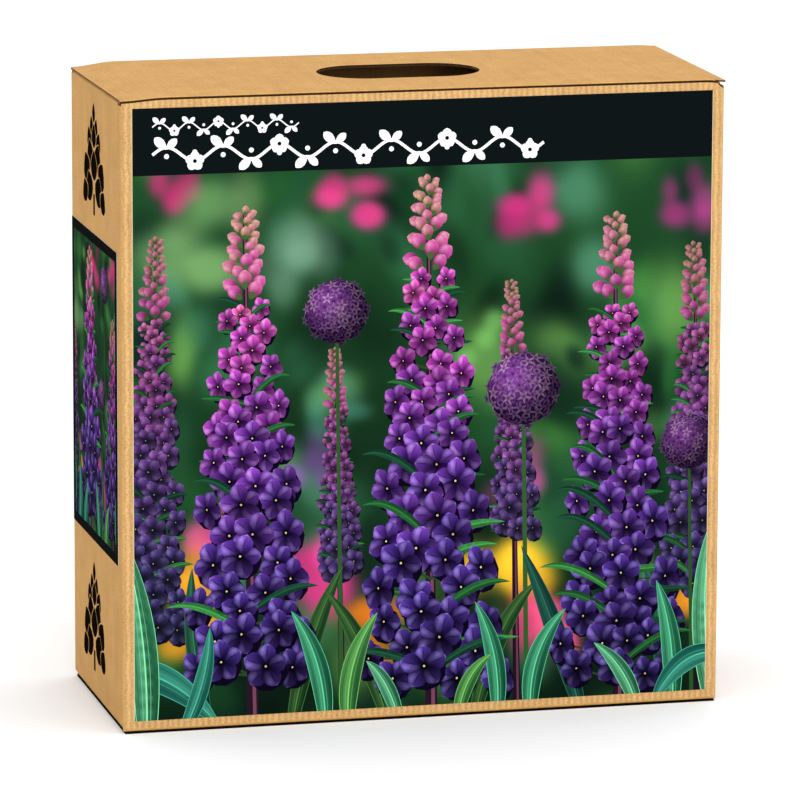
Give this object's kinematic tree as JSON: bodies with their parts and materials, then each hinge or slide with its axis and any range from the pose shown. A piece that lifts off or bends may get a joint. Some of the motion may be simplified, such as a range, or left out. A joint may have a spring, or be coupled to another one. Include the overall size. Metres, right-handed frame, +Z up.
{
  "type": "cardboard carry carton",
  "caption": "Upright corrugated kraft carton with a tuck-in hinged lid, a hand slot in the lid, and printed paper sheets on its front and sides.",
  "frame": {"origin": "middle of the carton's base, on the surface it stands on", "axes": "+Z up, the printed front faces -Y, +X to the right as seen from the front"},
  "size_m": [0.348, 0.144, 0.36],
  "materials": {
    "kraft_board": "matt uncoated kraft liner on corrugated board",
    "printed_paper": "offset printed coated paper, satin varnish"
  },
  "bodies": {
    "sleeve": {"front_wall": "kraft_board", "back_wall": "kraft_board", "left_wall": "kraft_board", "right_wall": "kraft_board", "glue_flap": "kraft_board", "base_outer_panel": "kraft_board", "base_inner_panel": "kraft_board", "base_flap_left": "kraft_board", "base_flap_right": "kraft_board", "front_print": "printed_paper", "left_print": "printed_paper", "right_print": "printed_paper"},
    "lid": {"lid_panel": "kraft_board", "tuck_flap": "kraft_board"},
    "left_flap": {"dust_flap_left": "kraft_board"},
    "right_flap": {"dust_flap_right": "kraft_board"}
  },
  "joints": [
    {"name": "lid_fold", "type": "hinge", "parent": "sleeve", "child": "lid", "pos_m": [0, 0.072, 0.36], "axis": [-1, 0, 0], "range_deg": [0, 175]},
    {"name": "left_flap_fold", "type": "hinge", "parent": "sleeve", "child": "left_flap", "pos_m": [-0.1737, 0, 0.3582], "axis": [0, -1, 0], "range_deg": [0, 87.5]},
    {"name": "right_flap_fold", "type": "hinge", "parent": "sleeve", "child": "right_flap", "pos_m": [0.1737, 0, 0.3582], "axis": [0, 1, 0], "range_deg": [0, 87.5]}
  ],
  "couplings": [
    {"joint": "left_flap_fold", "follows": "lid_fold", "ratio": 0.5},
    {"joint": "right_flap_fold", "follows": "lid_fold", "ratio": 0.5}
  ]
}
